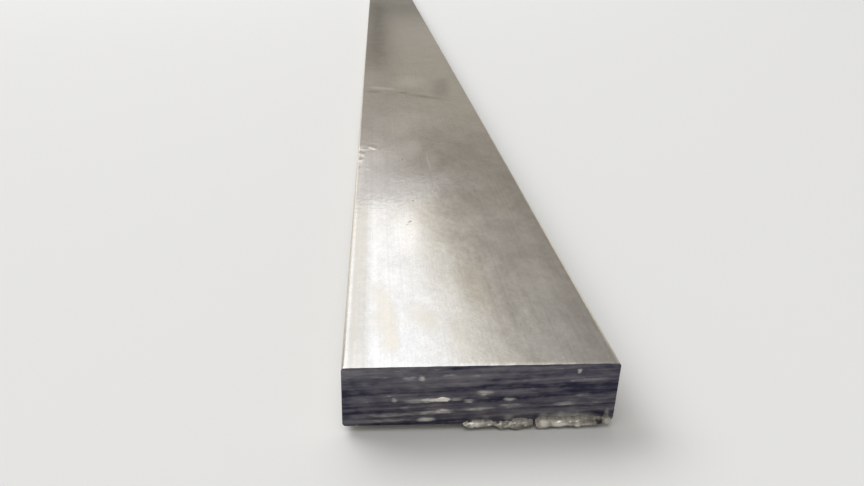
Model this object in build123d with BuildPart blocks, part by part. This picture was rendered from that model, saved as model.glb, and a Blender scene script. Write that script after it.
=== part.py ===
from build123d import *
import os

# A length of cold-drawn flat steel bar, lying on its wide side. The bar runs along Y with its sawn near end at -Y,
# X is across its width and Z is up. The origin is on the floor, under the middle of the bar.
# The saw tore a ragged burr out of the lower edge of the near end. It hangs below the underside, so that end lies
# on the tips of the burr, and the underside is as far off the floor as the longest tongue hangs.
# Every size is in millimetres.

# The bar
bar_width = 25.4
bar_thickness = 6.35
bar_length = 914.4
# Small radius that drawing leaves along the four long edges
edge_radius = 0.35

# The burr
# It ends this far from the side of the bar at +X
burr_gap = 0.15
# It is rooted this deep in the steel behind the sawn face
burr_root = 0.25
# Its torn rim is this thick
rim_thickness = 0.09
# A tongue leans out in front of the sawn face by this share of its drop
tongue_lean = 0.5
# The lip curls out from the sawn face by this much before it hangs down
lip_bulge = 0.16
# Where down its outer curve the lip curls out furthest, as a share of the curve's height
bulge_place = 0.55

# The burr's torn outline, as two strips with a tear between them. Each row is one place along the lower edge: how
# far it is from the +X end of the burr, how far the lip is smeared up the sawn face and how far it hangs down.
right_strip = (
    (0.00, 0.10, 0.05),
    (0.30, 0.25, 0.33),
    (0.66, 0.90, 0.36),
    (1.05, 0.40, 0.42),
    (2.25, 0.55, 0.45),
    (3.25, 0.60, 0.61),
    (3.75, 0.52, 0.47),
    (5.00, 0.58, 0.43),
    (6.40, 0.60, 0.55),
    (6.85, 0.66, 0.67),
    (7.15, 0.25, 0.40),
)
left_strip = (
    (7.40, 0.20, 0.34),
    (7.95, 0.30, 0.41),
    (9.25, 0.34, 0.75),
    (9.90, 0.20, 0.36),
    (10.60, 0.28, 0.52),
    (11.50, 0.18, 0.27),
    (12.10, 0.28, 0.22),
    (12.70, 0.34, 0.30),
    (13.50, 0.30, 0.44),
    (14.10, 0.08, 0.05),
)

# Places that follow from the sizes
near_end = -bar_length / 2
burr_side = bar_width / 2 - burr_gap
underside = max(drop for _, _, drop in right_strip + left_strip)


def lip_section(distance, rise, drop):
    """Return the lip's cross-section at one place along the lower edge of the sawn face."""
    lower_edge = Plane(origin=(burr_side - distance, near_end, underside), x_dir=(0, 1, 0), z_dir=(1, 0, 0))
    rim_back = -tongue_lean * drop
    rim_front = rim_back - rim_thickness
    bulge_front = rim_front * bulge_place - lip_bulge
    bulge_height = rise - (rise + drop) * bulge_place
    with BuildSketch(lower_edge) as section:
        with BuildLine():
            ThreePointArc((0, rise), (bulge_front, bulge_height), (rim_front, -drop))
            Polyline((rim_front, -drop), (rim_back, -drop), (0, 0), (burr_root, rise / 2), (0, rise))
        make_face()
    return section.sketch


with BuildPart() as flat_bar:
    # The drawn section, run the whole length
    with BuildSketch(Plane.XZ.offset(near_end)):
        with Locations((0, underside + bar_thickness / 2)):
            RectangleRounded(bar_width, bar_thickness, edge_radius)
    extrude(amount=bar_length)
    # The burr, each strip lofted through its cross-sections
    for strip in (right_strip, left_strip):
        loft([lip_section(*place) for place in strip], ruled=True)

flat_bar.part.label = "flat_bar"

os.makedirs("parts", exist_ok=True)
export_step(flat_bar.part, "parts/flat_bar.step")
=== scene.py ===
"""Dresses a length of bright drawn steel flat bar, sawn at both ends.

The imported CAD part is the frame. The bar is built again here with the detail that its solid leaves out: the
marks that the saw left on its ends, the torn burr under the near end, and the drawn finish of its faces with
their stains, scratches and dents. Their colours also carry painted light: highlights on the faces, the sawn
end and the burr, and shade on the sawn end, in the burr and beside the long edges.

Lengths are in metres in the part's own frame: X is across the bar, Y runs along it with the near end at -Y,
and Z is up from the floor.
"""

import functools
import logging
import math
import operator
from collections.abc import Callable, Iterator
from contextlib import contextmanager
from dataclasses import dataclass
from enum import Enum
from typing import Any

import bmesh
import bpy
from mathutils import Matrix, Quaternion, Vector


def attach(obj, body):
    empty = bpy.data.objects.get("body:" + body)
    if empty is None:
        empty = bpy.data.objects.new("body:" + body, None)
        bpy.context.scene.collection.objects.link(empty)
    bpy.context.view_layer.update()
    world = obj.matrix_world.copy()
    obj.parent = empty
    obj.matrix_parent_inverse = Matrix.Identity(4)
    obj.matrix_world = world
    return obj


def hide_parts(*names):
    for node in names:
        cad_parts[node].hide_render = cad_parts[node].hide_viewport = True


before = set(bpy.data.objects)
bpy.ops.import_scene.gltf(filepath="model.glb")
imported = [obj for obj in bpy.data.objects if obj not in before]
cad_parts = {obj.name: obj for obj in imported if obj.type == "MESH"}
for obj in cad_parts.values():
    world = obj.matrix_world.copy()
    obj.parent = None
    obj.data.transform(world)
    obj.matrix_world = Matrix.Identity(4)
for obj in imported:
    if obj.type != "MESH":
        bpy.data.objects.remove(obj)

Piece = bpy.types.Object
Finish = bpy.types.Material
Point = tuple[float, float, float]
Colour = tuple[float, float, float]
# Where a band starts and where it is at its full strength, in millimetres from what it is measured from
Fade = tuple[float, float]

MM = 0.001
# Two places closer than this count as one
TOUCH = 1e-6

log = logging.getLogger("flat_bar")
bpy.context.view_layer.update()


def each(kind: type, *rows: tuple[float, ...]) -> tuple[Any, ...]:
    """Return one object of a kind for each row of its values."""
    return tuple(kind(*row) for row in rows)


# Shader maths


class Level:
    """A value in a shader, which adds a Math node for each operator that it is used with."""

    def __init__(self, sheet: "Sheet", socket: bpy.types.NodeSocket) -> None:
        """Keep the sheet that the value belongs to and the socket that gives it."""
        self.sheet = sheet
        self.socket = socket

    def _math(self, operation: str, *values: "Level | float") -> "Level":
        """Return the outcome of one Math node."""
        return self.sheet.node("ShaderNodeMath", {"operation": operation}, dict(enumerate(values)))

    def __add__(self, other: "Level | float") -> "Level":
        """Return the sum."""
        return self._math("ADD", self, other)

    __radd__ = __add__

    def __sub__(self, other: "Level | float") -> "Level":
        """Return the difference."""
        return self._math("SUBTRACT", self, other)

    def __rsub__(self, other: float) -> "Level":
        """Return a plain number less this value."""
        return self._math("SUBTRACT", other, self)

    def __mul__(self, other: "Level | float") -> "Level":
        """Return the product."""
        return self._math("MULTIPLY", self, other)

    __rmul__ = __mul__

    def __abs__(self) -> "Level":
        """Return the value without its sign."""
        return self._math("ABSOLUTE", self)

    def kept_between(self, low: float, high: float) -> "Level":
        """Return the value held between two limits."""
        return self._math("MINIMUM", self._math("MAXIMUM", self, low), high)

    def eased(self, start: float, end: float) -> "Level":
        """Return 0 where the value is at start, 1 where it is at end, and a smooth change between."""
        sockets = {"Value": self, "From Min": start, "From Max": end}
        return self.sheet.node("ShaderNodeMapRange", {"interpolation_type": "SMOOTHSTEP"}, sockets)


@dataclass(frozen=True)
class Grain:
    """A noise pattern that can be longer one way than another.

    Attributes:
        size: how long one of its features is along X, Y and Z, in millimetres.
        detail: how many finer layers it has.
        harshness: how strong the finer layers are.
        turn: how far it is turned about X, Y and Z, in degrees.
        swirl: how far it is pulled out of shape.
    """

    size: Point
    detail: float = 2.0
    harshness: float = 0.5
    turn: Point = (0.0, 0.0, 0.0)
    swirl: float = 0.0


class Sheet:
    """The node sheet of one new material."""

    def __init__(self, name: str) -> None:
        """Start a material with an empty sheet.

        Args:
            name: the material's name.
        """
        self.material = bpy.data.materials.new(name)
        self.material.use_nodes = True
        self.tree = self.material.node_tree
        self.tree.nodes.clear()
        self.place = self.node("ShaderNodeTexCoord", output="Object")

    def node(
        self,
        kind: str,
        settings: dict[str, Any] | None = None,
        sockets: dict[str | int, Any] | None = None,
        output: str | int = 0,
    ) -> Level:
        """Add a node and return one of its outputs.

        Args:
            kind: the node's type.
            settings: its settings, which are made before its sockets are filled.
            sockets: the values or links of its input sockets.
            output: the name or number of the output that is wanted.

        Returns:
            The output as a value for further maths.
        """
        made = self.tree.nodes.new(kind)
        for name, value in (settings or {}).items():
            setattr(made, name, value)
        for key, value in (sockets or {}).items():
            if isinstance(value, Level):
                self.tree.links.new(value.socket, made.inputs[key])
            else:
                made.inputs[key].default_value = value
        return Level(self, made.outputs[output] if made.outputs else None)

    def axis(self, name: str) -> Level:
        """Return the X, Y or Z of the place on the piece."""
        return self.node("ShaderNodeSeparateXYZ", sockets={0: self.place}, output=name)

    def noise(self, grain: Grain, output: str = "Fac") -> Level:
        """Lay out a noise pattern.

        Args:
            grain: the pattern's shape.
            output: Fac for a value, Color for a vector of three.

        Returns:
            The pattern, from 0 to 1.
        """
        scale = tuple(1 / (side * MM) for side in grain.size)
        turn = tuple(math.radians(angle) for angle in grain.turn)
        turned = self.node("ShaderNodeMapping", sockets={"Vector": self.place, "Rotation": turn})
        stretched = self.node("ShaderNodeVectorMath", {"operation": "MULTIPLY"}, {0: turned, 1: scale})
        sockets = {"Vector": stretched, "Scale": 1.0, "Detail": grain.detail}
        sockets |= {"Roughness": grain.harshness, "Distortion": grain.swirl}
        return self.node("ShaderNodeTexNoise", sockets=sockets, output=output)

    def blend(self, share: Level | float, first: Level | Colour, second: Level | Colour) -> Level:
        """Mix two colours.

        Args:
            share: how much of the second colour there is, from 0 to 1.
            first: the first colour.
            second: the second colour.

        Returns:
            The mixed colour.
        """
        ends = [colour if isinstance(colour, Level) else (*colour, 1.0) for colour in (first, second)]
        sockets = {0: share, 6: ends[0], 7: ends[1]}
        return self.node("ShaderNodeMix", {"data_type": "RGBA"}, sockets, output=2)

    def ragged_place(self, reach: float, grain: Grain) -> Level:
        """Push the place on the piece about, so that what is read from it has an uneven outline.

        Args:
            reach: how far it is pushed, in metres.
            grain: the noise that pushes it.

        Returns:
            The pushed place.
        """
        centred = {0: self.noise(grain, output="Color"), 1: (0.5, 0.5, 0.5)}
        push = self.node("ShaderNodeVectorMath", {"operation": "SUBTRACT"}, centred)
        sockets = {0: push, 1: (reach,) * 3, 2: self.place}
        return self.node("ShaderNodeVectorMath", {"operation": "MULTIPLY_ADD"}, sockets)

    def finish(self, sockets: dict[str | int, Any]) -> Finish:
        """Close the sheet with a Principled surface.

        Args:
            sockets: the values or links of the surface's sockets.

        Returns:
            The material.
        """
        surface = self.node("ShaderNodeBsdfPrincipled", sockets=sockets)
        self.node("ShaderNodeOutputMaterial", sockets={"Surface": surface})
        return self.material

    def finish_metal(
        self, colour: Level, rough: Level, height: Level, others: dict[str, Any] | None = None
    ) -> Finish:
        """Close the sheet with a surface of bare metal.

        Args:
            colour: the metal's colour.
            rough: how rough it is.
            height: the height of the relief on it, in metres.
            others: the values of the surface's other sockets.

        Returns:
            The material.
        """
        relief = self.node("ShaderNodeBump", sockets={"Strength": 1.0, "Distance": 1.0, "Height": height})
        metal = {"Base Color": colour, "Metallic": 1.0, "Roughness": rough, "Normal": relief}
        return self.finish({**metal, **(others or {})})


@dataclass(frozen=True)
class Mark:
    """One scratch, pit, stain or smear, or one area of painted highlight or painted shade, at its place on a
    face of the bar.

    Attributes:
        across: how far its middle is from the middle of the bar, towards +X, in millimetres.
        other: how far its middle is from the near end on a wide face, or above the underside on that end.
        half_long: half its length, in millimetres.
        half_wide: half its width, in millimetres.
        turn: the angle of its length from +X, in degrees.
        tone: how much lighter it is than the steel round it, or darker below 0.
        soft: the share of the way in from its rim at which it is at its full strength.
        rise: how high it stands above the face, or how deep it is pressed in below 0, in micrometres.
    """

    across: float
    other: float
    half_long: float
    half_wide: float
    turn: float
    tone: float
    soft: float = 0.8
    rise: float = 0.0

    def cover(self, sheet: Sheet, place: Level, on_end: bool) -> Level:
        """Lay out the mark.

        Args:
            sheet: the sheet that the mark is drawn on.
            place: the place on the piece, as the mark reads it.
            on_end: whether the mark is on the near end and not on a wide face.

        Returns:
            How strongly the mark covers each place, from 0 to 1.
        """
        if on_end:
            middle = (self.across * MM, FlatBar.near_end(), FlatBar.clearance + self.other * MM)
            turn = (0.0, -math.radians(self.turn), 0.0)
            reach = (self.half_long * MM, 2 * MM, self.half_wide * MM)
        else:
            middle = (self.across * MM, FlatBar.near_end() + self.other * MM, FlatBar.top())
            turn = (0.0, 0.0, math.radians(self.turn))
            reach = (self.half_long * MM, self.half_wide * MM, 2 * MM)
        sockets = {"Vector": place, "Location": middle, "Rotation": turn, "Scale": reach}
        inside = sheet.node("ShaderNodeMapping", {"vector_type": "TEXTURE"}, sockets)
        far = sheet.node("ShaderNodeVectorMath", {"operation": "LENGTH"}, {0: inside}, output="Value")
        return far.eased(1.0, 1.0 - self.soft)


def total(parts: list[Level]) -> Level:
    """Return the sum of several values."""
    return functools.reduce(operator.add, parts)


def end_tones(marks: tuple[Mark, ...], sheet: Sheet, place: Level) -> Level:
    """Return the tones of several marks on the near end, each as far as it covers a place, added up."""
    return total([mark.cover(sheet, place, True) * mark.tone for mark in marks])


# Finishes


def faded(distance: Level, fade: Fade) -> Level:
    """Return how strong a band is at a distance in metres from where it is measured, from 0 to 1."""
    return distance.eased(fade[0] * MM, fade[1] * MM)


@dataclass(frozen=True)
class DrawnSteel:
    """Bright steel as the die left it, satin with fine lines along the bar, marked by handling, and painted
    with highlights and shade where the light falls on it.

    Attributes:
        dark: the darkest that its steel gets.
        light: the lightest that its steel gets.
        brown: the tint of the stains on it.
        glancing: what it keeps of a glancing reflection.
        roughness: how rough it is on average.
        line_spread: how much further the lines along the bar spread a reflection across it than along it.
        corner_fade: the strip of a side along a long edge.
        rounding_fade: the rounding of that edge, which is painted lighter as a highlight.
        rubbed_fade: the steel that is rubbed along it.
        left_fade: the band beside the left edge, brown as a stain and darker as painted shade.
        left_reach: how far from the near end that band runs.
        right_fade: the band of painted shade beside the right edge.
        front_reach: how far from the near end the brown wear along the edges and the painted shade beside the
            right edge run.
        marks: the pits, scratches and bruise on the top face, and areas of painted highlight and painted
            shade on it.
        stains: the brown stains on the top face.
    """

    dark: Colour = (0.385, 0.357, 0.325)
    light: Colour = (0.845, 0.805, 0.75)
    brown: Colour = (0.62, 0.555, 0.45)
    glancing: Colour = (0.87, 0.825, 0.745)
    roughness: float = 0.135
    line_spread: float = 1.0
    corner_fade: Fade = (0.9, 0.3)
    rounding_fade: Fade = (0.45, 0.25)
    rubbed_fade: Fade = (0.75, 0.40)
    left_fade: Fade = (2.9, 1.3)
    left_reach: Fade = (44.0, 37.0)
    right_fade: Fade = (3.4, 1.2)
    front_reach: Fade = (80.0, 35.0)
    marks: tuple[Mark, ...] = each(
        Mark,
        # Pits and small pressed scratches.
        (-5.0, 62.6, 0.2, 0.75, 0, -0.9, 0.7, -14), (-4.11, 42.2, 0.3, 0.3, 10, -0.9, 0.7, -14),
        (-5.0, 34.3, 0.62, 0.17, 58, -0.8, 0.8, -10), (-5.3, 33.3, 0.4, 0.12, 40, -0.6, 0.8, -8),
        # The bruise on the left edge: raised, and lighter partly as bright fresh metal and partly as painted
        # highlight.
        (-12.05, 62.0, 0.65, 2.6, 0, 0.5, 1.0, 40), (-11.75, 65.2, 0.6, 1.6, 0, 0.4, 1.0, 24),
        (-10.3, 69.8, 0.85, 1.8, 12, 0.5, 1.0, 40), (-9.6, 69.0, 0.7, 1.4, 0, 0.4, 1.0, 26),
        (-11.5, 68.4, 1.4, 0.9, -4, 0.45, 1.0, 12), (-10.8, 57.0, 0.9, 1.1, 0, 0.25, 1.0, 10),
        # A painted highlight along the left edge, then the pale and dark marks from 110 to 135 mm, which are
        # the painted light and painted shade of a slight kink across the face.
        (-12.1, 57.0, 20.0, 0.95, 90, 0.26), (2.4, 113.2, 7.9, 2.3, -34, -0.44, 0.9),
        (-2.9, 117.6, 1.9, 1.8, -30, -0.46, 0.9), (6.9, 124.0, 3.3, 18.0, -6, -0.42),
        (-7.8, 122.6, 5.2, 2.2, -22, 0.58), (-10.0, 118.4, 2.8, 2.2, -20, -0.4),
        # Two pale scratches, the last pale mark of the kink, and a lighter area along the middle.
        (-6.3, 51.1, 2.6, 0.24, 2, 0.3), (-0.68, 61.5, 7.5, 0.18, 91, 0.26),
        (-0.8, 132.0, 6.6, 12.0, -8, 0.36, 0.9), (-0.04, 63.4, 1.8, 9.0, 0, 0.24),
        # Painted light on the right of the front part, a lighter area at the left front corner, and two areas
        # of painted highlight that widen the highlight on the front left.
        (7.5, 34.0, 5.5, 17.0, 0, 0.1), (-11.6, 1.5, 1.3, 5.0, 0, 0.14),
        (-2.6, 70.0, 2.4, 8.0, 0, 0.16), (-5.4, 31.0, 2.6, 10.5, 0, 0.24),
    )
    stains: tuple[Mark, ...] = each(
        Mark,
        (-9.1, 13.0, 1.9, 5.2, 8, -0.2, 1.0), (-8.6, 8.0, 2.1, 5.4, 0, -0.24, 1.0),
        (-8.3, 3.8, 1.5, 3.0, 0, -0.22, 1.0), (-4.8, 8.6, 2.0, 4.6, 12, -0.2, 1.0),
        (-1.41, 4.7, 2.2, 5.5, 0, -0.13, 1.0), (1.41, 15.7, 2.6, 9.0, 0, -0.11, 1.0),
    )

    def material(self) -> Finish:
        """Lay out the finish.

        Returns:
            The material.
        """
        sheet = Sheet("drawn_steel")
        ragged = sheet.ragged_place(0.5 * MM, Grain((0.7, 1.6, 0.7)))
        blotches = sheet.noise(Grain((6.0, 11.0, 6.0), 3.0, 0.55, (0, 0, 28), 0.5)) - 0.5
        smears = sheet.noise(Grain((1.6, 4.2, 1.6), 3.0, 0.5, (0, 0, -14), 0.4)) - 0.5
        mottle = sheet.noise(Grain((0.8, 1.3, 0.8), 2.0, 0.55, (0, 0, 20))) - 0.5
        lines = sheet.noise(Grain((0.20, 60.0, 0.20), 3.0, 0.6)) - 0.5
        speckle = sheet.noise(Grain((0.22, 0.4, 0.22), 2.0, 0.5)) - 0.5
        wave = sheet.noise(Grain((7.0, 11.0, 7.0), 2.0)) - 0.5

        half = FlatBar.width / 2
        half_up = FlatBar.thickness / 2
        right = half - sheet.axis("X")
        left = half + sheet.axis("X")
        side = half - abs(sheet.axis("X"))
        corner = half_up - abs(sheet.axis("Z") - (FlatBar.clearance + half_up))
        along = sheet.axis("Y") - FlatBar.near_end()
        near_corner = faded(corner, self.corner_fade)
        # The rounding of each long edge, which the tone below paints lighter as a highlight.
        rounding = faded(side, self.rounding_fade) * near_corner
        rubbed = faded(side, self.rubbed_fade) * near_corner
        # Beside the left edge, near the front: a brown stain, and painted shade that darkens the steel at the
        # left boundary of the highlight.
        left_stain_and_shade = faded(left, self.left_fade) * faded(along, self.left_reach) * (1 - rubbed) * near_corner
        # Beside the right edge: painted shade.
        right_painted_shade = faded(right, self.right_fade) * (1 - rounding) * near_corner
        front = faded(along, self.front_reach)

        blurred = sheet.ragged_place(1.8 * MM, Grain((2.2, 3.4, 2.2), 3.0))
        stained = [(mark, mark.cover(sheet, blurred, False)) for mark in self.stains]
        marked = [(mark, mark.cover(sheet, ragged, False)) for mark in self.marks]
        tone = 0.5 + blotches * 0.38 + smears * 0.30 + mottle * 0.28 + lines * 0.30 + speckle * 0.32
        # Painted light: the roundings of the long edges are made lighter as a highlight, and the bands beside
        # the edges darker as painted shade.
        tone = tone - rubbed * 0.06 + rounding * 0.30 - left_stain_and_shade * 0.46 - right_painted_shade * front * 0.16
        tone = tone + total([cover * mark.tone for mark, cover in marked + stained])
        steel = sheet.blend(tone.kept_between(0.0, 1.0), self.dark, self.light)
        browned = total([cover * (-3.1 * mark.tone) for mark, cover in stained])
        browned = browned + left_stain_and_shade * 0.40 + rubbed * front * 0.30
        colour = sheet.blend(browned.kept_between(0.0, 0.75), steel, self.brown)
        rough = self.roughness + blotches * 0.04 + smears * 0.04 + rounding * 0.08
        height = wave * 15e-6 + smears * 5e-6 + mottle * 6e-6 + speckle * 2e-6 + lines * 0.5e-6
        height = height + total([cover * (mark.rise * 1e-6) for mark, cover in marked if mark.rise])
        spread = {"Specular Tint": (*self.glancing, 1.0), "Anisotropic": self.line_spread}
        return sheet.finish_metal(colour, rough.kept_between(0.10, 0.6), height, spread)


@dataclass(frozen=True)
class SawnSteel:
    """The dull, scored steel of a sawn end, kept dark partly as painted shade of an end that faces away from
    the light, and tinted blue-violet as a painted reflection.

    Attributes:
        shade: the steel in the grooves, darkened as painted shade and tinted blue as a painted reflection.
        ridge: the steel on the ridges between them, tinted violet as a painted reflection.
        glint_and_smear: the bright steel of the painted highlights, and of the burr's steel dragged up the
            face.
        roughness: how rough it is on average.
        slant: how far the saw marks climb towards +X, in degrees.
        patches: lighter and darker areas on the near end, mostly painted light and painted shade, with a few
            lighter score lines.
        painted_glints: the painted highlights on the near end, where its ridges catch the light.
        dragged_up: where the saw dragged the burr's steel up the near end.
    """

    shade: Colour = (0.034, 0.034, 0.060)
    ridge: Colour = (0.342, 0.322, 0.336)
    glint_and_smear: Colour = (0.94, 0.91, 0.83)
    roughness: float = 0.46
    slant: float = 2.2
    patches: tuple[Mark, ...] = each(
        Mark,
        (5.0, 3.92, 9.5, 0.28, 1, -0.16), (10.2, 4.05, 4.6, 0.8, 2, -0.2, 0.9),
        (7.5, 5.8, 9.5, 0.8, 2, -0.15, 0.9), (-10.8, 4.6, 3.6, 1.3, 0, -0.13),
        (-12.5, 2.4, 0.9, 2.8, 0, -0.14), (-3.5, 5.1, 6.5, 0.5, 2, 0.12),
        (-1.5, 4.28, 2.6, 0.4, 1, 0.14), (-4.8, 2.1, 3.4, 1.3, 2, 0.12),
        (-4.4, 1.95, 1.3, 0.8, 0, 0.16, 0.9), (-0.2, 2.2, 1.1, 1.7, 0, 0.1),
        (2.0, 0.75, 2.6, 0.45, 0, 0.14), (8.4, 1.9, 1.5, 0.8, 0, 0.12),
        (11.2, 3.0, 1.6, 0.5, 1, -0.12), (6.5, 4.9, 6.5, 0.22, 3, 0.1),
        (3.0, 1.6, 6.0, 0.3, 3, 0.1),
    )
    painted_glints: tuple[Mark, ...] = each(
        Mark,
        (-5.4, 2.64, 2.0, 0.3, 2, 0.46), (-4.6, 2.7, 1.0, 0.3, 2, 0.4),
        (-3.58, 2.74, 0.85, 0.27, 1, 2.6, 0.5), (-4.25, 2.72, 0.7, 0.24, 1, 0.8, 0.7),
        (-2.3, 2.74, 0.7, 0.28, 2, 0.34), (-1.2, 2.52, 0.6, 0.28, 2, 0.36),
        (-7.0, 1.9, 0.6, 0.3, 0, 0.12), (-7.95, 2.74, 0.34, 0.34, 0, 0.28),
        (-4.6, 1.3, 2.6, 0.28, 2, 0.3), (-3.35, 1.44, 1.0, 0.34, 2, 0.56),
        (-0.4, 1.6, 2.2, 0.26, 3, 0.3), (-5.0, 0.54, 1.1, 0.3, 1, 0.6, 0.7),
        (-8.6, 0.5, 3.0, 0.22, 2, 0.16), (-8.2, 1.12, 3.2, 0.26, 1, 0.18),
        (-5.49, 5.08, 0.42, 0.42, 0, 0.34), (-6.6, 5.1, 0.8, 0.28, 2, 0.18),
        (-3.0, 5.34, 0.9, 0.22, 2, 0.16), (-0.6, 5.2, 0.6, 0.22, 2, 0.12),
        (8.88, 5.58, 0.28, 0.3, 0, 0.42, 0.7), (0.35, 3.42, 1.1, 0.38, 2, 0.36),
        (0.23, 3.2, 0.45, 0.22, 2, 0.22), (2.65, 2.62, 0.75, 0.28, 2, 0.36),
        (-0.9, 2.5, 0.6, 0.22, 2, 0.16), (7.85, 2.0, 1.3, 0.3, 1, 0.26),
        (10.2, 1.98, 1.6, 0.26, 1, 0.14), (9.6, 2.96, 1.1, 0.24, 2, 0.14),
        (10.0, 4.66, 2.2, 0.14, 2, 0.12), (2.8, 1.92, 1.5, 0.26, 0, 0.2),
    )
    dragged_up: tuple[Mark, ...] = each(
        Mark,
        (8.3, 0.52, 3.4, 0.72, 0, 0.36, 0.9), (5.95, 0.62, 0.6, 0.62, 0, 0.18, 0.9),
        (7.6, 0.75, 0.5, 0.55, 0, 0.16, 0.9), (9.15, 0.75, 0.35, 0.6, 0, 0.1, 0.9),
        (12.0, 0.85, 0.35, 0.7, 0, 0.24, 0.9), (2.7, 0.55, 0.65, 0.52, 0, 0.22, 0.9),
        (0.55, 0.5, 0.6, 0.5, 0, 0.12, 0.9), (-0.5, 0.4, 0.7, 0.4, 0, 0.1, 0.9),
    )

    def material(self) -> Finish:
        """Lay out the finish.

        Returns:
            The material.
        """
        sheet = Sheet("sawn_steel")
        turn = (0.0, self.slant, 0.0)
        bands = sheet.noise(Grain((19.0, 8.0, 0.62), 2.0, 0.5, turn)) - 0.5
        scores = sheet.noise(Grain((5.5, 8.0, 0.22), 2.0, 0.6, turn)) - 0.5
        flecks = sheet.noise(Grain((0.9, 8.0, 0.20), 2.0, 0.5, turn)) - 0.5
        smudges = sheet.noise(Grain((2.0, 8.0, 0.9), 3.0, 0.55)) - 0.5
        ragged = sheet.ragged_place(0.30 * MM, Grain((0.7, 0.35, 0.2)))
        # Painted highlights placed where the ridges catch the light, broken up along the flecks.
        broken = 0.60 + (flecks + 0.5).eased(0.38, 0.60) * 0.65
        painted_glints = broken * end_tones(self.painted_glints, sheet, ragged)
        dragged_up = end_tones(self.dragged_up, sheet, ragged)
        tone = 0.26 + bands * 1.1 + scores * 0.35 + smudges * 0.8 + flecks * 0.30
        # Painted light and shade: lighter and darker areas laid over the end's tone.
        tone = tone + end_tones(self.patches, sheet, ragged)
        # The bright share: random small painted highlights, the placed painted highlights, and the burr's
        # steel dragged up the face.
        random_glints = (flecks + 0.5).eased(0.62, 0.80) * (scores + 0.5).eased(0.52, 0.66) * 0.4
        bright = (random_glints + painted_glints + dragged_up).kept_between(0.0, 1.0)
        # The end's steel, kept dark partly as painted shade and tinted blue-violet as a painted reflection.
        steel = sheet.blend(tone.kept_between(0.0, 1.0), self.shade, self.ridge)
        colour = sheet.blend(bright, steel, self.glint_and_smear)
        height = bands * 16e-6 + scores * 5e-6 + flecks * 4e-6
        rough = self.roughness - bright * 0.26 + smudges * 0.2
        return sheet.finish_metal(colour, rough.kept_between(0.2, 0.8), height)


@dataclass(frozen=True)
class TornSteel:
    """The raw steel of the burr, bright where the saw smeared it and lighter still where highlights are
    painted on its lip, darker up the sawn face, and darkened with painted shade in its folds and under its
    curl.

    Attributes:
        dark_steel_and_shade: the darkest steel, which paints shade in the folds and under the curl, and
            darkens the smear's streaks.
        smear: the steel that is smeared up the sawn face.
        bright: the steel where the lip is rubbed bright, and where highlights are painted on it.
        roughness: how rough it is on average.
        patches: the parts of the lip painted lighter as highlight and darker as shade.
    """

    dark_steel_and_shade: Colour = (0.055, 0.051, 0.047)
    smear: Colour = (0.36, 0.335, 0.297)
    bright: Colour = (0.90, 0.87, 0.79)
    roughness: float = 0.36
    patches: tuple[Mark, ...] = each(
        Mark,
        (12.2, 0.05, 0.4, 0.4, 0, 0.5), (11.4, -0.05, 0.6, 0.6, 0, -1.1),
        (10.4, 0.0, 1.1, 0.5, 0, -0.3), (9.2, -0.35, 0.4, 0.35, 0, 0.6),
        (7.5, -0.2, 1.3, 0.35, 0, 0.76), (7.0, 0.06, 1.7, 0.2, 0, 0.5),
        (6.1, -0.05, 0.6, 0.5, 0, 0.84), (4.75, -0.05, 0.55, 0.7, 0, -0.8),
        (3.95, -0.05, 0.45, 0.6, 0, -0.4), (2.8, -0.45, 0.8, 0.45, 0, 0.2),
        (2.25, -0.1, 0.3, 0.5, 0, -0.4), (1.75, -0.45, 0.4, 0.35, 0, 0.5),
        (1.75, 0.15, 0.4, 0.28, 0, -0.8), (0.8, 0.0, 0.6, 0.3, 0, 0.36),
        (-0.45, -0.05, 0.8, 0.4, 0, 0.66),
    )

    def material(self) -> Finish:
        """Lay out the finish.

        Returns:
            The material.
        """
        sheet = Sheet("torn_steel")
        lumps = sheet.noise(Grain((0.9, 0.9, 0.5), 2.0, 0.5)) - 0.5
        drags = sheet.noise(Grain((0.40, 0.9, 2.0), 2.0, 0.55)) - 0.5
        up = (sheet.axis("Z") - FlatBar.clearance) * (1 / MM) + lumps * 0.4
        lip = up.eased(0.36, 0.08)
        # Painted shade under the curl of the lip.
        shade_under_curl = up.eased(-0.46, -0.80)
        ragged = sheet.ragged_place(0.2 * MM, Grain((0.4, 0.4, 0.3)))
        # The lip's wear, with its parts painted lighter as highlight and darker as shade.
        wear_and_painted_light = 0.24 + lumps * 1.8 + drags * 0.8 + end_tones(self.patches, sheet, ragged)
        smear = 0.24 + up.eased(1.20, 0.40) * 0.5 + drags * 2.2 + lumps * 0.8
        smeared = sheet.blend(smear.kept_between(0.0, 1.0), self.dark_steel_and_shade, self.smear)
        rubbed = sheet.blend(wear_and_painted_light.kept_between(0.0, 1.0), self.smear, self.bright)
        # Darkest where the tone falls below 0: painted shade in the recesses of the lip.
        rubbed = sheet.blend((wear_and_painted_light * -1.5).kept_between(0.0, 1.0), rubbed, self.dark_steel_and_shade)
        colour = sheet.blend(shade_under_curl * 0.85, sheet.blend(lip, smeared, rubbed), self.dark_steel_and_shade)
        rough = self.roughness + lumps * 0.25
        return sheet.finish_metal(colour, rough.kept_between(0.15, 0.7), lumps * 20e-6 + drags * 8e-6)


@dataclass(frozen=True)
class StudioPaint:
    """A plain, matt paint of the studio.

    Attributes:
        name: its name.
        paint: its colour.
        roughness: how rough it is.
    """

    name: str
    paint: Colour
    roughness: float

    def material(self) -> Finish:
        """Return the material."""
        return Sheet(self.name).finish({"Base Color": (*self.paint, 1.0), "Roughness": self.roughness})


# Work on meshes


@contextmanager
def edited(piece: Piece) -> Iterator[None]:
    """Open a piece in edit mode, and close it afterwards.

    Args:
        piece: the piece that is worked on.
    """
    bpy.context.view_layer.objects.active = piece
    bpy.ops.object.mode_set(mode="EDIT")
    yield
    bpy.ops.object.mode_set(mode="OBJECT")


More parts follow.
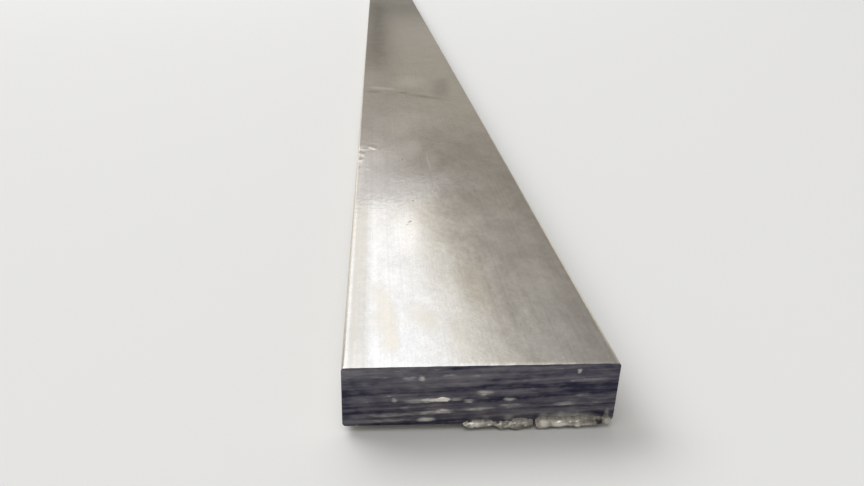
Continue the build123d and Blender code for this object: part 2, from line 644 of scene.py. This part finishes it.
def start_piece(name: str) -> Piece:
    """Name the primitive that was just added, and set its place and size into its mesh.

    Args:
        name: the piece's name.

    Returns:
        The piece.
    """
    piece = bpy.context.object
    piece.name = piece.data.name = name
    bpy.ops.object.transform_apply(location=True, rotation=True, scale=True)
    return piece


def pick(piece: Piece, wanted: Callable[[Vector], bool], faces: bool = False) -> None:
    """Select some points or faces of a piece, and nothing else.

    Args:
        piece: the piece, open in edit mode.
        wanted: the test that the place of a point or the middle of a face passes.
        faces: whether faces are picked and not points.
    """
    bpy.ops.mesh.select_mode(type="FACE" if faces else "VERT")
    shape = bmesh.from_edit_mesh(piece.data)
    for part in shape.faces if faces else shape.verts:
        part.select_set(wanted(part.calc_center_median() if faces else part.co))
    shape.select_flush_mode()
    bmesh.update_edit_mesh(piece.data)


def cut_across(axis: Point, places: list[float]) -> None:
    """Cut all that shows of an open piece with flat planes.

    Args:
        axis: the direction that the planes face.
        places: how far along that direction each plane is.
    """
    facing = Vector(axis)
    for place in places:
        bpy.ops.mesh.select_all(action="SELECT")
        bpy.ops.mesh.bisect(plane_co=facing * place, plane_no=facing)


def spaced(start: float, end: float, step: float) -> list[float]:
    """Return evenly spaced places between two ends, without the ends, about a step apart."""
    count = round(abs(end - start) / step)
    return [start + (end - start) * index / count for index in range(1, count)]


def apply_modifier(piece: Piece, kind: str, **settings: Any) -> None:
    """Add a modifier to a piece and apply it.

    Args:
        piece: the piece.
        kind: the modifier's type.
        settings: the modifier's settings.
    """
    bpy.context.view_layer.objects.active = piece
    modifier = piece.modifiers.new(kind.lower(), kind)
    for name, value in settings.items():
        setattr(modifier, name, value)
    bpy.ops.object.modifier_apply(modifier=modifier.name)


class Pattern(Enum):
    """The patterns that a relief is pushed out with."""

    CLOUDS = "CLOUDS"
    STUCCI = "STUCCI"


class Push(Enum):
    """The ways that a relief can push."""

    ALONG = "Y"
    UP = "Z"
    OUT = "NORMAL"


@dataclass(frozen=True)
class Relief:
    """An uneven relief that is pushed into the mesh itself.

    Attributes:
        pattern: the pattern that it follows.
        size: how long one of its features is along X, Y and Z, in metres.
        depth: how far it reaches from its lowest to its highest.
        push: the way that it pushes.
        slant: how far the pattern is turned about Y, in degrees.
        middle: the level of the pattern that stays where it is.
    """

    pattern: Pattern
    size: Point
    depth: float
    push: Push
    slant: float = 0.0
    middle: float = 0.5

    def press(self, piece: Piece, share: Callable[[Vector], float]) -> None:
        """Press the relief into a piece.

        Args:
            piece: the piece.
            share: how much of the relief a point at a place takes, from 0 to 1.
        """
        group = piece.vertex_groups.new(name="relief")
        for point in piece.data.vertices:
            amount = share(point.co)
            if amount > 0:
                group.add([point.index], amount, "REPLACE")
        texture = bpy.data.textures.new("relief", self.pattern.value)
        texture.noise_scale = 1.0
        bpy.ops.object.empty_add(rotation=(0.0, math.radians(-self.slant), 0.0))
        measure = bpy.context.object
        measure.scale = self.size
        bpy.context.view_layer.update()
        apply_modifier(
            piece,
            "DISPLACE",
            texture=texture,
            texture_coords="OBJECT",
            texture_coords_object=measure,
            direction=self.push.value,
            space="LOCAL",
            strength=self.depth,
            mid_level=self.middle,
            vertex_group=group.name,
        )
        piece.vertex_groups.clear()
        bpy.data.objects.remove(measure)
        bpy.data.textures.remove(texture)


# The bar


@dataclass
class FlatBar:
    """The bar itself: a drawn flat with rounded long edges and two sawn ends.

    Attributes:
        width: its size across.
        thickness: its size up.
        length: its size along.
        edge_radius: the rounding of its long edges.
        clearance: how far the burr holds its underside off the floor.
        sawn_depth: how far in from an end its mesh is fine enough for the saw marks.
        row: the height of a row of small faces on the near end.
        column: the width of one of those faces.
        saw_slant: how far the saw marks climb towards +X, in degrees.
        rim_height: how far down from the top face the near end's upper rim is uneven.
        rim_depth: how far in from the near end it is uneven.
        bruise_middle: how far the middle of the bruise on its left edge is from the near end.
        bruise_reach: how far the bruise reaches from its middle along the bar.
        bruise_width: how far it reaches across the top face.
        bruise_drop: how far it reaches down the side.
        bruise_band: how far its fine mesh reaches from its middle along the bar.
        bruise_cuts: how far the cuts of that mesh are from the left side.
        bands: how far the other cuts across the bar are from the near end, in millimetres.
    """

    width: float = 25.4 * MM
    thickness: float = 6.35 * MM
    length: float = 914.4 * MM
    edge_radius: float = 0.35 * MM
    clearance: float = 0.75 * MM
    sawn_depth: float = 0.5 * MM
    row: float = 0.10 * MM
    column: float = 0.22 * MM
    saw_slant: float = 2.2
    rim_height: float = 0.02 * MM
    rim_depth: float = 0.06 * MM
    bruise_middle: float = 64 * MM
    bruise_reach: float = 7 * MM
    bruise_width: float = 1.0 * MM
    bruise_drop: float = 1.2 * MM
    bruise_band: float = 10 * MM
    bruise_cuts: tuple[float, ...] = (0.6 * MM, 0.9 * MM, 1.3 * MM, 1.8 * MM, 2.5 * MM)
    bands: tuple[float, ...] = (0.08, 0.5, 4, 15, 30, 54, 74, 90, 120, 160, 220, 300, 400, 520, 650, 780)

    @classmethod
    def near_end(cls) -> float:
        """Return the Y of the near end."""
        return -cls.length / 2

    @classmethod
    def top(cls) -> float:
        """Return the Z of the top face."""
        return cls.clearance + cls.thickness

    def build(self, drawn: Finish, sawn: Finish) -> Piece:
        """Build and dress the bar.

        Args:
            drawn: the finish of its faces and sides.
            sawn: the finish of its ends.

        Returns:
            The bar.
        """
        bar = self._blank()
        self._round_long_edges(bar)
        self._mark_off_bands(bar)
        self._lay_out_saw_marks(bar, self.near_end(), self.row, self.column)
        self._lay_out_saw_marks(bar, -self.near_end(), 2 * self.row, 3 * self.column)
        self._dress(bar, drawn, sawn)
        self._saw(bar)
        self._bruise_left_edge(bar)
        return bar

    def _blank(self) -> Piece:
        """Start a plain square-edged length of the bar.

        Returns:
            The length.
        """
        middle = (0, 0, self.clearance + self.thickness / 2)
        size = (self.width, self.length, self.thickness)
        bpy.ops.mesh.primitive_cube_add(size=1, location=middle, scale=size)
        return start_piece("bright_flat_bar")

    def _round_long_edges(self, bar: Piece) -> None:
        """Round the four edges that run along the bar.

        Args:
            bar: the bar.
        """
        with edited(bar):
            bpy.ops.mesh.select_mode(type="EDGE")
            shape = bmesh.from_edit_mesh(bar.data)
            for edge in shape.edges:
                run = edge.verts[1].co - edge.verts[0].co
                edge.select_set(abs(run.y) > self.length / 2)
            bmesh.update_edit_mesh(bar.data)
            bpy.ops.mesh.bevel(offset=self.edge_radius, segments=5, affect="EDGES")

    def _mark_off_bands(self, bar: Piece) -> None:
        """Cut the bar into bands along its length, fine at the ends and where its left edge is bruised.

        Args:
            bar: the bar.
        """
        near = self.near_end()
        bruise = near + self.bruise_middle
        bands = spaced(bruise - self.bruise_band, bruise + self.bruise_band, 0.5 * MM)
        bands = sorted(bands + [near + place * MM for place in self.bands])
        bands += [-near - self.sawn_depth, -near - 2 * self.sawn_depth]
        with edited(bar):
            cut_across((0, 1, 0), bands)
            pick(bar, lambda middle: abs(middle.y - bruise) < self.bruise_band, faces=True)
            bpy.ops.mesh.hide(unselected=True)
            cut_across((1, 0, 0), [-self.width / 2 + place for place in self.bruise_cuts])
            bpy.ops.mesh.reveal(select=False)

    def _lay_out_saw_marks(self, bar: Piece, end: float, row: float, column: float) -> None:
        """Cut an end of the bar into small faces that the saw marks are pressed into.

        Args:
            bar: the bar.
            end: the Y of the end.
            row: the height of a small face.
            column: the width of a small face.
        """
        half = self.width / 2
        with edited(bar):
            pick(bar, lambda middle: abs(middle.y - end) < self.sawn_depth, faces=True)
            bpy.ops.mesh.hide(unselected=True)
            cut_across((1, 0, 0), spaced(-half, half, column))
            cut_across((0, 0, 1), spaced(self.clearance, self.top(), row))
            bpy.ops.mesh.reveal(select=False)

    def _dress(self, bar: Piece, drawn: Finish, sawn: Finish) -> None:
        """Give the faces their finishes while the ends are still flat.

        Args:
            bar: the bar.
            drawn: the finish of its faces and sides.
            sawn: the finish of its ends.
        """
        bar.data.materials.append(drawn)
        bar.data.materials.append(sawn)
        for face in bar.data.polygons:
            face.material_index = 1 if abs(face.normal.y) > 0.9 else 0

    def _saw(self, bar: Piece) -> None:
        """Press the saw marks into both ends, and leave the near end's upper rim a little uneven.

        Args:
            bar: the bar.
        """
        near, far = self.near_end(), -self.near_end()
        edge = self.top() - self.rim_height
        grooves = Relief(Pattern.CLOUDS, (9 * MM, 1, 0.42 * MM), 0.10 * MM, Push.ALONG, self.saw_slant)
        scores = Relief(Pattern.CLOUDS, (3 * MM, 1, 0.16 * MM), 0.04 * MM, Push.ALONG, self.saw_slant)
        far_grooves = Relief(Pattern.CLOUDS, (9 * MM, 1, 0.5 * MM), 0.08 * MM, Push.ALONG, 1.6, 1.0)
        rim = Relief(Pattern.CLOUDS, (1.1 * MM, 1, 1.1 * MM), 0.07 * MM, Push.UP, 0.0, 1.0)
        for relief in (grooves, scores):
            relief.press(bar, lambda place: float(place.y < near + TOUCH))
        far_grooves.press(bar, lambda place: float(place.y > far - TOUCH))
        rim.press(bar, lambda place: float(place.y < near + self.rim_depth and place.z > edge))

    def _bruise_left_edge(self, bar: Piece) -> None:
        """Bruise the left edge where something hard struck it.

        Args:
            bar: the bar.
        """
        side = -self.width / 2
        lowest = self.top() - self.bruise_drop
        middle = self.near_end() + self.bruise_middle
        bruise = Relief(Pattern.STUCCI, (0.8 * MM, 1.6 * MM, 0.8 * MM), 0.30 * MM, Push.OUT, 0.0, 1.0)

        def share(place: Vector) -> float:
            """Work out how much of the bruise a point takes.

            Args:
                place: the place of the point.

            Returns:
                The share, from 0 to 1.
            """
            if place.z < lowest:
                return 0.0
            along = 1 - abs(place.y - middle) / self.bruise_reach
            inward = 1 - (place.x - side) / self.bruise_width
            return max(0.0, min(1.0, inward)) * max(0.0, along)

        bruise.press(bar, share)


@dataclass(frozen=True)
class Lip:
    """The burr's cross-section at one place along the lower edge of the near end.

    Attributes:
        distance: how far the place is from the burr's end at +X, in millimetres.
        rise: how far the steel is smeared up the sawn face.
        drop: how far it hangs below the underside.
    """

    distance: float
    rise: float
    drop: float


@dataclass
class SawBurr:
    """The ragged lip that the saw tore out along the lower edge of the near end.

    Attributes:
        gap: how far its end at +X is from the side of the bar.
        right_strip: its outline from +X to the tear.
        left_strip: its outline from the tear on.
        outline: the cross-section's points, as how far each is out from the sawn face and up from its lower
            edge, for a rise and a drop of 1.
    """

    gap: float = 0.15 * MM
    right_strip: tuple[Lip, ...] = each(
        Lip,
        (0.0, 0.1, 0.05), (0.15, 0.25, 0.22), (0.3, 0.45, 0.33), (0.48, 0.75, 0.36),
        (0.62, 0.85, 0.34), (0.86, 0.35, 0.26), (1.05, 0.42, 0.38), (1.3, 0.5, 0.36),
        (1.6, 0.42, 0.42), (2.0, 0.5, 0.46), (2.5, 0.44, 0.44), (2.95, 0.52, 0.52),
        (3.25, 0.58, 0.61), (3.5, 0.48, 0.47), (4.0, 0.52, 0.44), (4.6, 0.46, 0.43),
        (5.2, 0.55, 0.46), (5.8, 0.48, 0.48), (6.4, 0.54, 0.52), (6.75, 0.6, 0.64),
        (7.05, 0.5, 0.6), (7.3, 0.25, 0.4),
    )
    left_strip: tuple[Lip, ...] = each(
        Lip,
        (7.55, 0.25, 0.3), (7.8, 0.4, 0.42), (8.0, 0.35, 0.38), (8.3, 0.45, 0.48),
        (8.7, 0.5, 0.66), (9.1, 0.45, 0.75), (9.4, 0.4, 0.7), (9.7, 0.3, 0.44),
        (9.95, 0.25, 0.33), (10.2, 0.3, 0.44), (10.55, 0.32, 0.58), (10.85, 0.28, 0.4),
        (11.2, 0.3, 0.26), (11.6, 0.28, 0.24), (12.0, 0.34, 0.28), (12.5, 0.4, 0.34),
        (12.9, 0.38, 0.42), (13.3, 0.36, 0.46), (13.7, 0.3, 0.44), (13.95, 0.2, 0.25),
        (14.1, 0.08, 0.05),
    )
    outline: tuple[tuple[float, float], ...] = (
        (-0.15, 0.85), (0.0, 1.0), (0.02, 0.82), (0.04, 0.66), (0.07, 0.5),
        (0.12, 0.34), (0.2, 0.18), (0.31, -0.02), (0.42, -0.32), (0.48, -0.62),
        (0.42, -0.9), (0.28, -1.0), (0.14, -0.5), (0.0, -0.06), (-0.2, 0.3),
    )

    def build(self, torn: Finish) -> Piece:
        """Build and dress the burr.

        Args:
            torn: its finish.

        Returns:
            Its two strips as one piece.
        """
        strips = [self._strip(strip) for strip in (self.right_strip, self.left_strip)]
        for strip in strips:
            strip.select_set(True)
        bpy.ops.object.join()
        burr = bpy.context.object
        burr.data.materials.append(torn)
        self._tear(burr)
        return burr

    def _tear(self, burr: Piece) -> None:
        """Press folds and a ragged rim into the burr.

        Args:
            burr: the burr.
        """
        edge = FlatBar.clearance
        folds = Relief(Pattern.CLOUDS, (0.6 * MM, 0.6 * MM, 0.45 * MM), 0.22 * MM, Push.OUT)
        drags = Relief(Pattern.CLOUDS, (0.26 * MM, 0.5 * MM, 1.4 * MM), 0.10 * MM, Push.ALONG)
        teeth = Relief(Pattern.CLOUDS, (0.45 * MM, 1, 1), 0.26 * MM, Push.UP, 0.0, 0.45)

        def in_front(place: Vector) -> float:
            """Return how much of the folds a point takes, less where it is smeared up the sawn face."""
            if place.y >= FlatBar.near_end():
                return 0.0
            return max(0.2, min(1.0, (edge + 0.40 * MM - place.z) / (0.30 * MM)))

        for relief in (folds, drags):
            relief.press(burr, in_front)
        teeth.press(burr, lambda place: max(0.0, min(1.0, (edge - place.z) / (0.35 * MM))))

    def _strip(self, rows: tuple[Lip, ...]) -> Piece:
        """Draw one strip out from one cross-section to the next.

        Args:
            rows: the strip's cross-sections, from +X to -X.

        Returns:
            The strip.
        """
        corner = (FlatBar.width / 2 - self.gap, FlatBar.near_end(), FlatBar.clearance)
        bpy.ops.object.select_all(action="DESELECT")
        bpy.ops.mesh.primitive_circle_add(
            vertices=len(self.outline),
            radius=MM,
            fill_type="NGON",
            location=(corner[0] - rows[0].distance * MM, corner[1], corner[2]),
            rotation=(0, math.pi / 2, 0),
        )
        strip = start_piece("saw_burr")
        with edited(strip):
            self._bend_outline(strip, corner)
            before = Lip(rows[0].distance, 1.0, 1.0)
            for row in rows:
                if row is not rows[0]:
                    step = ((before.distance - row.distance) * MM, 0, 0)
                    bpy.ops.mesh.extrude_region_move(TRANSFORM_OT_translate={"value": step})
                self._size_section(strip, corner, before, row)
                before = row
            bpy.ops.mesh.select_all(action="SELECT")
            bpy.ops.mesh.normals_make_consistent(inside=False)
        apply_modifier(strip, "SUBSURF", levels=2, render_levels=2, subdivision_type="SIMPLE")
        return strip

    def _bend_outline(self, strip: Piece, corner: Point) -> None:
        """Move the round start of a strip into the burr's cross-section.

        Args:
            strip: the strip, open in edit mode.
            corner: the end of the lower edge of the sawn face.
        """
        round_points = [point.co.copy() for point in bmesh.from_edit_mesh(strip.data).verts]
        for start, (out, up) in zip(round_points, self.outline):
            wanted = Vector((start.x, corner[1] - out * MM, corner[2] + up * MM))
            pick(strip, lambda place, start=start: (place - start).length < TOUCH / 10)
            bpy.ops.transform.translate(value=wanted - start)
        pick(strip, lambda place: True)

    def _size_section(self, strip: Piece, corner: Point, before: Lip, row: Lip) -> None:
        """Give the newest cross-section of a strip its rise and drop, and leave it selected.

        Args:
            strip: the strip, open in edit mode.
            corner: the end of the lower edge of the sawn face.
            before: the sizes that the cross-section has.
            row: the sizes that it gets.
        """
        here = corner[0] - row.distance * MM
        centre = (here, corner[1], corner[2])
        further_out = math.sqrt(row.drop / before.drop)
        pick(strip, lambda place: abs(place.x - here) < TOUCH and place.z > corner[2])
        bpy.ops.transform.resize(value=(1, further_out, row.rise / before.rise), center_override=centre)
        pick(strip, lambda place: abs(place.x - here) < TOUCH and place.z < corner[2])
        bpy.ops.transform.resize(value=(1, further_out, row.drop / before.drop), center_override=centre)
        pick(strip, lambda place: abs(place.x - here) < TOUCH)


# The studio

WHITE: Colour = (1.0, 1.0, 1.0)
BLUISH: Colour = (0.94, 1.03, 1.18)
PALE_BLUE: Colour = (0.95, 1.0, 1.14)
YELLOWISH: Colour = (1.06, 1.0, 0.80)
FLOOR_PAINT = StudioPaint("pale_floor", (0.81, 0.81, 0.80), 0.95)
CARD_PAINT = StudioPaint("card_paint", (0.10, 0.10, 0.09), 0.9)


@dataclass(frozen=True)
class Softbox:
    """A soft lamp.

    Attributes:
        name: its name.
        place: where it stands.
        aim: the place that it faces.
        width: its size across.
        height: its size up.
        power: its power for each square metre of its face, in watts.
        colour: the colour of its light.
        turn: how far it is turned about the line to its aim, in degrees.
    """

    name: str
    place: Point
    aim: Point
    width: float
    height: float
    power: float
    colour: Colour = WHITE
    turn: float = 0.0

    def set_up(self) -> None:
        """Stand the lamp up and turn it on."""
        bpy.ops.object.light_add(type="AREA", location=self.place)
        lamp = bpy.context.object
        lamp.name = lamp.data.name = self.name
        facing = (Vector(self.aim) - Vector(self.place)).to_track_quat("-Z", "Y")
        lamp.rotation_euler = (facing @ Quaternion((0, 0, 1), math.radians(self.turn))).to_euler()
        lamp.visible_camera = False
        lamp.data.shape = "RECTANGLE"
        lamp.data.size = self.width
        lamp.data.size_y = self.height
        lamp.data.color = self.colour
        lamp.data.energy = self.power * self.width * self.height


@dataclass(frozen=True)
class Card:
    """A dark card behind the bar that the camera doesn't see, only its soft reflection in the steel.

    Attributes:
        name: its name.
        middle: where its middle is.
        width: its size across.
        height: its size up.
    """

    name: str
    middle: Point
    width: float
    height: float

    def set_up(self, paint: Finish) -> None:
        """Stand the card up.

        Args:
            paint: its finish.
        """
        bpy.ops.object.select_all(action="DESELECT")
        bpy.ops.mesh.primitive_plane_add(size=1, location=self.middle, rotation=(math.pi / 2, 0, 0))
        bpy.context.object.scale = (self.width, self.height, 1)
        card = start_piece(self.name)
        card.visible_camera = False
        card.data.materials.append(paint)


@dataclass
class Studio:
    """The floor, the light and the camera.

    Attributes:
        floor_reach: how far the floor runs in each direction.
        surround: the colour of the room round the bar.
        softboxes: the lamps.
        cards: the dark cards.
        camera_place: where the camera stands.
        camera_heading: how far the camera is turned from straight along the bar, in degrees.
        camera_dip: how far it looks down.
        camera_roll: how far it leans.
        lens: its focal length in millimetres, on a frame 36 mm wide.
    """

    floor_reach: float = 6.0
    surround: Colour = (0.385, 0.376, 0.362)
    softboxes: tuple[Softbox, ...] = (
        Softbox("ceiling_core", (-0.444, 3.035, 2.0), (-0.444, 3.035, 0), 1.70, 3.63, 4.15, BLUISH, 5.4),
        Softbox("ceiling_rim", (-0.394, 3.035, 2.0), (-0.394, 3.035, 0), 2.00, 3.63, 2.1, YELLOWISH, 5.4),
        Softbox("low_light_1", (-0.40, 4.05, 1.595), (-0.40, 0.0, 1.595), 1.60, 0.19, 1.9, PALE_BLUE),
        Softbox("low_light_2", (-0.55, 4.05, 1.485), (-0.55, 0.0, 1.485), 1.30, 0.41, 1.8, PALE_BLUE),
        Softbox("low_light_3", (-0.475, 4.05, 1.37), (-0.475, 0.0, 1.37), 1.45, 0.64, 0.6, PALE_BLUE),
        Softbox("low_light_4", (-0.575, 4.05, 1.22), (-0.575, 0.0, 1.22), 1.25, 0.94, 0.4, PALE_BLUE),
        Softbox("far_light", (1.27, 5.5, 1.10), (1.27, 0.0, 1.10), 2.27, 0.95, 0.34),
        Softbox("left_softbox", (-1.16, 2.74, 0.62), (0.0, -0.4, 0.3), 1.3, 1.0, 2.4),
        Softbox("right_softbox", (1.60, 2.66, 0.75), (0.0, -0.4, 0.3), 0.8, 0.9, 2.5),
        Softbox("front_softbox", (-0.4, -1.3, 2.8), (0.0, -0.4, 0.0), 2.2, 2.0, 3.6),
        Softbox("back_softbox", (-2.0, 1.4, 2.8), (0.0, -0.2, 0.0), 2.6, 2.2, 13.6),
    )
    cards: tuple[Card, ...] = (
        Card("card_across", (0.115, 4.0, 0.376), 0.56, 0.040),
        Card("card_upright", (0.006, 3.99, 0.560), 0.050, 0.370),
    )
    camera_place: Point = (-9.57 * MM, -509.33 * MM, 42.12 * MM)
    camera_heading: float = -5.03
    camera_dip: float = 23.75
    camera_roll: float = 1.83
    lens: float = 29.04

    def set_up(self) -> None:
        """Lay the floor, light the room and stand the cards and the camera."""
        self._lay_floor()
        self._light_room()
        for softbox in self.softboxes:
            softbox.set_up()
        paint = CARD_PAINT.material()
        for card in self.cards:
            card.set_up(paint)
        self._stand_camera()
        bpy.context.scene.view_settings.view_transform = "Standard"

    def _lay_floor(self) -> None:
        """Lay the floor."""
        bpy.ops.object.select_all(action="DESELECT")
        bpy.ops.mesh.primitive_circle_add(vertices=96, radius=self.floor_reach, fill_type="NGON")
        floor = start_piece("studio_floor")
        floor.data.materials.append(FLOOR_PAINT.material())

    def _light_room(self) -> None:
        """Give the room its even light."""
        world = bpy.data.worlds.new("studio_room")
        world.use_nodes = True
        background = world.node_tree.nodes["Background"]
        background.inputs["Color"].default_value = (*self.surround, 1.0)
        background.inputs["Strength"].default_value = 1.0
        bpy.context.scene.world = world

    def _stand_camera(self) -> None:
        """Stand the camera where the photograph was taken from."""
        bpy.ops.object.camera_add(location=self.camera_place)
        camera = bpy.context.object
        camera.name = camera.data.name = "camera"
        turn = (
            Matrix.Rotation(math.radians(self.camera_heading), 3, "Z")
            @ Matrix.Rotation(math.radians(90 - self.camera_dip), 3, "X")
            @ Matrix.Rotation(math.radians(self.camera_roll), 3, "Z")
        )
        camera.rotation_euler = turn.to_euler()
        camera.data.sensor_width = 36.0
        camera.data.lens = self.lens
        camera.data.clip_start = 5 * MM
        camera.data.clip_end = 50.0
        bpy.context.scene.camera = camera


def join_burr(bar: Piece, burr: Piece) -> None:
    """Make the burr part of the bar, and smooth the whole.

    Args:
        bar: the bar.
        burr: the burr, which is used up.
    """
    bpy.ops.object.select_all(action="DESELECT")
    burr.select_set(True)
    bar.select_set(True)
    bpy.context.view_layer.objects.active = bar
    bpy.ops.object.join()
    bpy.ops.object.shade_smooth_by_angle(angle=math.radians(40))
    apply_modifier(bar, "WEIGHTED_NORMAL", mode="FACE_AREA", weight=50, keep_sharp=True)


def run_lines_along(bar: Piece) -> None:
    """Make the lines that spread the steel's reflection run straight along the bar.

    They turn about the middle of the mesh's texture space, so that space is made far wider than the bar.

    Args:
        bar: the bar.
    """
    bar.data.use_auto_texspace = False
    bar.data.texspace_location = (0.0, 0.0, FlatBar.clearance + FlatBar.thickness / 2)
    bar.data.texspace_size = (1000.0, FlatBar.length / 2, FlatBar.thickness)


def main() -> None:
    """Build the studio and the bar."""
    Studio().set_up()
    log.info("studio: floor, lamps, cards and camera")
    bpy.ops.object.select_all(action="DESELECT")
    bar = FlatBar().build(DrawnSteel().material(), SawnSteel().material())
    log.info("bar: %d faces", len(bar.data.polygons))
    burr = SawBurr().build(TornSteel().material())
    log.info("burr: %d faces", len(burr.data.polygons))
    join_burr(bar, burr)
    run_lines_along(bar)
    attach(bar, "root")
    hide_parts("flat_bar")


if __name__ == "__main__":
    logging.basicConfig(level=logging.INFO, format="%(message)s")
    main()
